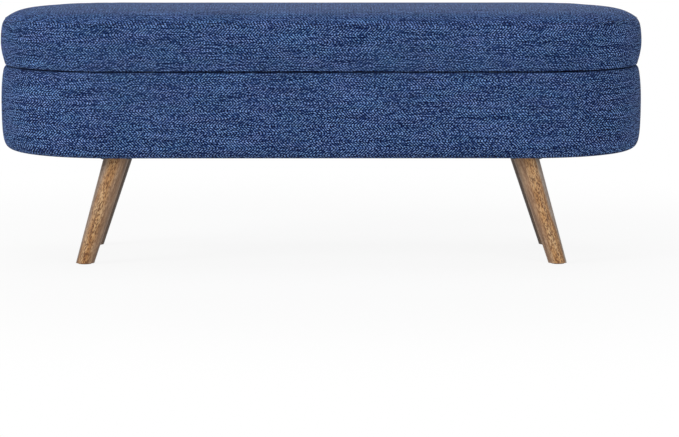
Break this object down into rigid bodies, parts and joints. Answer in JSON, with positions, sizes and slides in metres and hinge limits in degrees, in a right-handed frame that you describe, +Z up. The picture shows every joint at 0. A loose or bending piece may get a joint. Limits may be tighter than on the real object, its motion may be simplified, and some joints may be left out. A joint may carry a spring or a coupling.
{
  "type": "ottoman with storage",
  "caption": "Oval upholstered bench ottoman on splayed tapered wooden legs, with a padded lid hinged at the back over a lined storage box.",
  "frame": {"origin": "on the floor, under the middle of the box", "axes": "+X along the length to the right, -Y to the front, +Z up"},
  "size_m": [1.108, 0.409, 0.4315],
  "materials": {
    "cover_fabric": "heathered blue woven upholstery cloth, matt",
    "foam": "cream upholstery foam",
    "plywood": "raw plywood",
    "lining_cloth": "black lining cloth",
    "dust_cloth": "black non-woven dust cloth",
    "leg_wood": "mid-brown stained hardwood, satin",
    "plate_steel": "black zinc-coated steel",
    "hinge_steel": "zinc-plated steel",
    "stay_steel": "zinc-plated steel",
    "bumper_rubber": "black rubber",
    "glide_plastic": "brown plastic"
  },
  "bodies": {
    "box": {"box_cover": "cover_fabric", "box_padding": "foam", "front_panel": "plywood", "back_panel": "plywood", "left_end_panel": "plywood", "right_end_panel": "plywood", "bottom_panel": "plywood", "wall_lining": "lining_cloth", "floor_lining": "lining_cloth", "dust_cover": "dust_cloth", "lid_bumpers": "bumper_rubber", "front_legs": "leg_wood", "back_legs": "leg_wood", "leg_plates": "plate_steel", "foot_glides": "glide_plastic", "hinge_box_leaves": "hinge_steel", "hinge_pins": "hinge_steel", "stay_wall_brackets": "stay_steel"},
    "lid": {"lid_board": "plywood", "lid_foam": "foam", "lid_band": "cover_fabric", "lid_top_cover": "cover_fabric", "lid_lining": "lining_cloth", "hinge_lid_leaves": "hinge_steel", "stay_lid_brackets": "stay_steel"},
    "left_stay": {"left_stay_bar": "stay_steel"},
    "right_stay": {"right_stay_bar": "stay_steel"}
  },
  "joints": [
    {"name": "lid_hinge", "type": "hinge", "parent": "box", "child": "lid", "pos_m": [0, 0.2, 0.331], "axis": [-1, 0, 0], "range_deg": [0, 90]},
    {"name": "left_stay_pivot", "type": "hinge", "parent": "lid", "child": "left_stay", "pos_m": [-0.3, 0.13323, 0.31862], "axis": [-1, 0, 0], "range_deg": [-45, 0]},
    {"name": "right_stay_pivot", "type": "hinge", "parent": "lid", "child": "right_stay", "pos_m": [0.3, 0.13323, 0.31862], "axis": [-1, 0, 0], "range_deg": [-45, 0]}
  ],
  "couplings": [
    {"joint": "left_stay_pivot", "follows": "lid_hinge", "ratio": -0.5},
    {"joint": "right_stay_pivot", "follows": "lid_hinge", "ratio": -0.5}
  ]
}
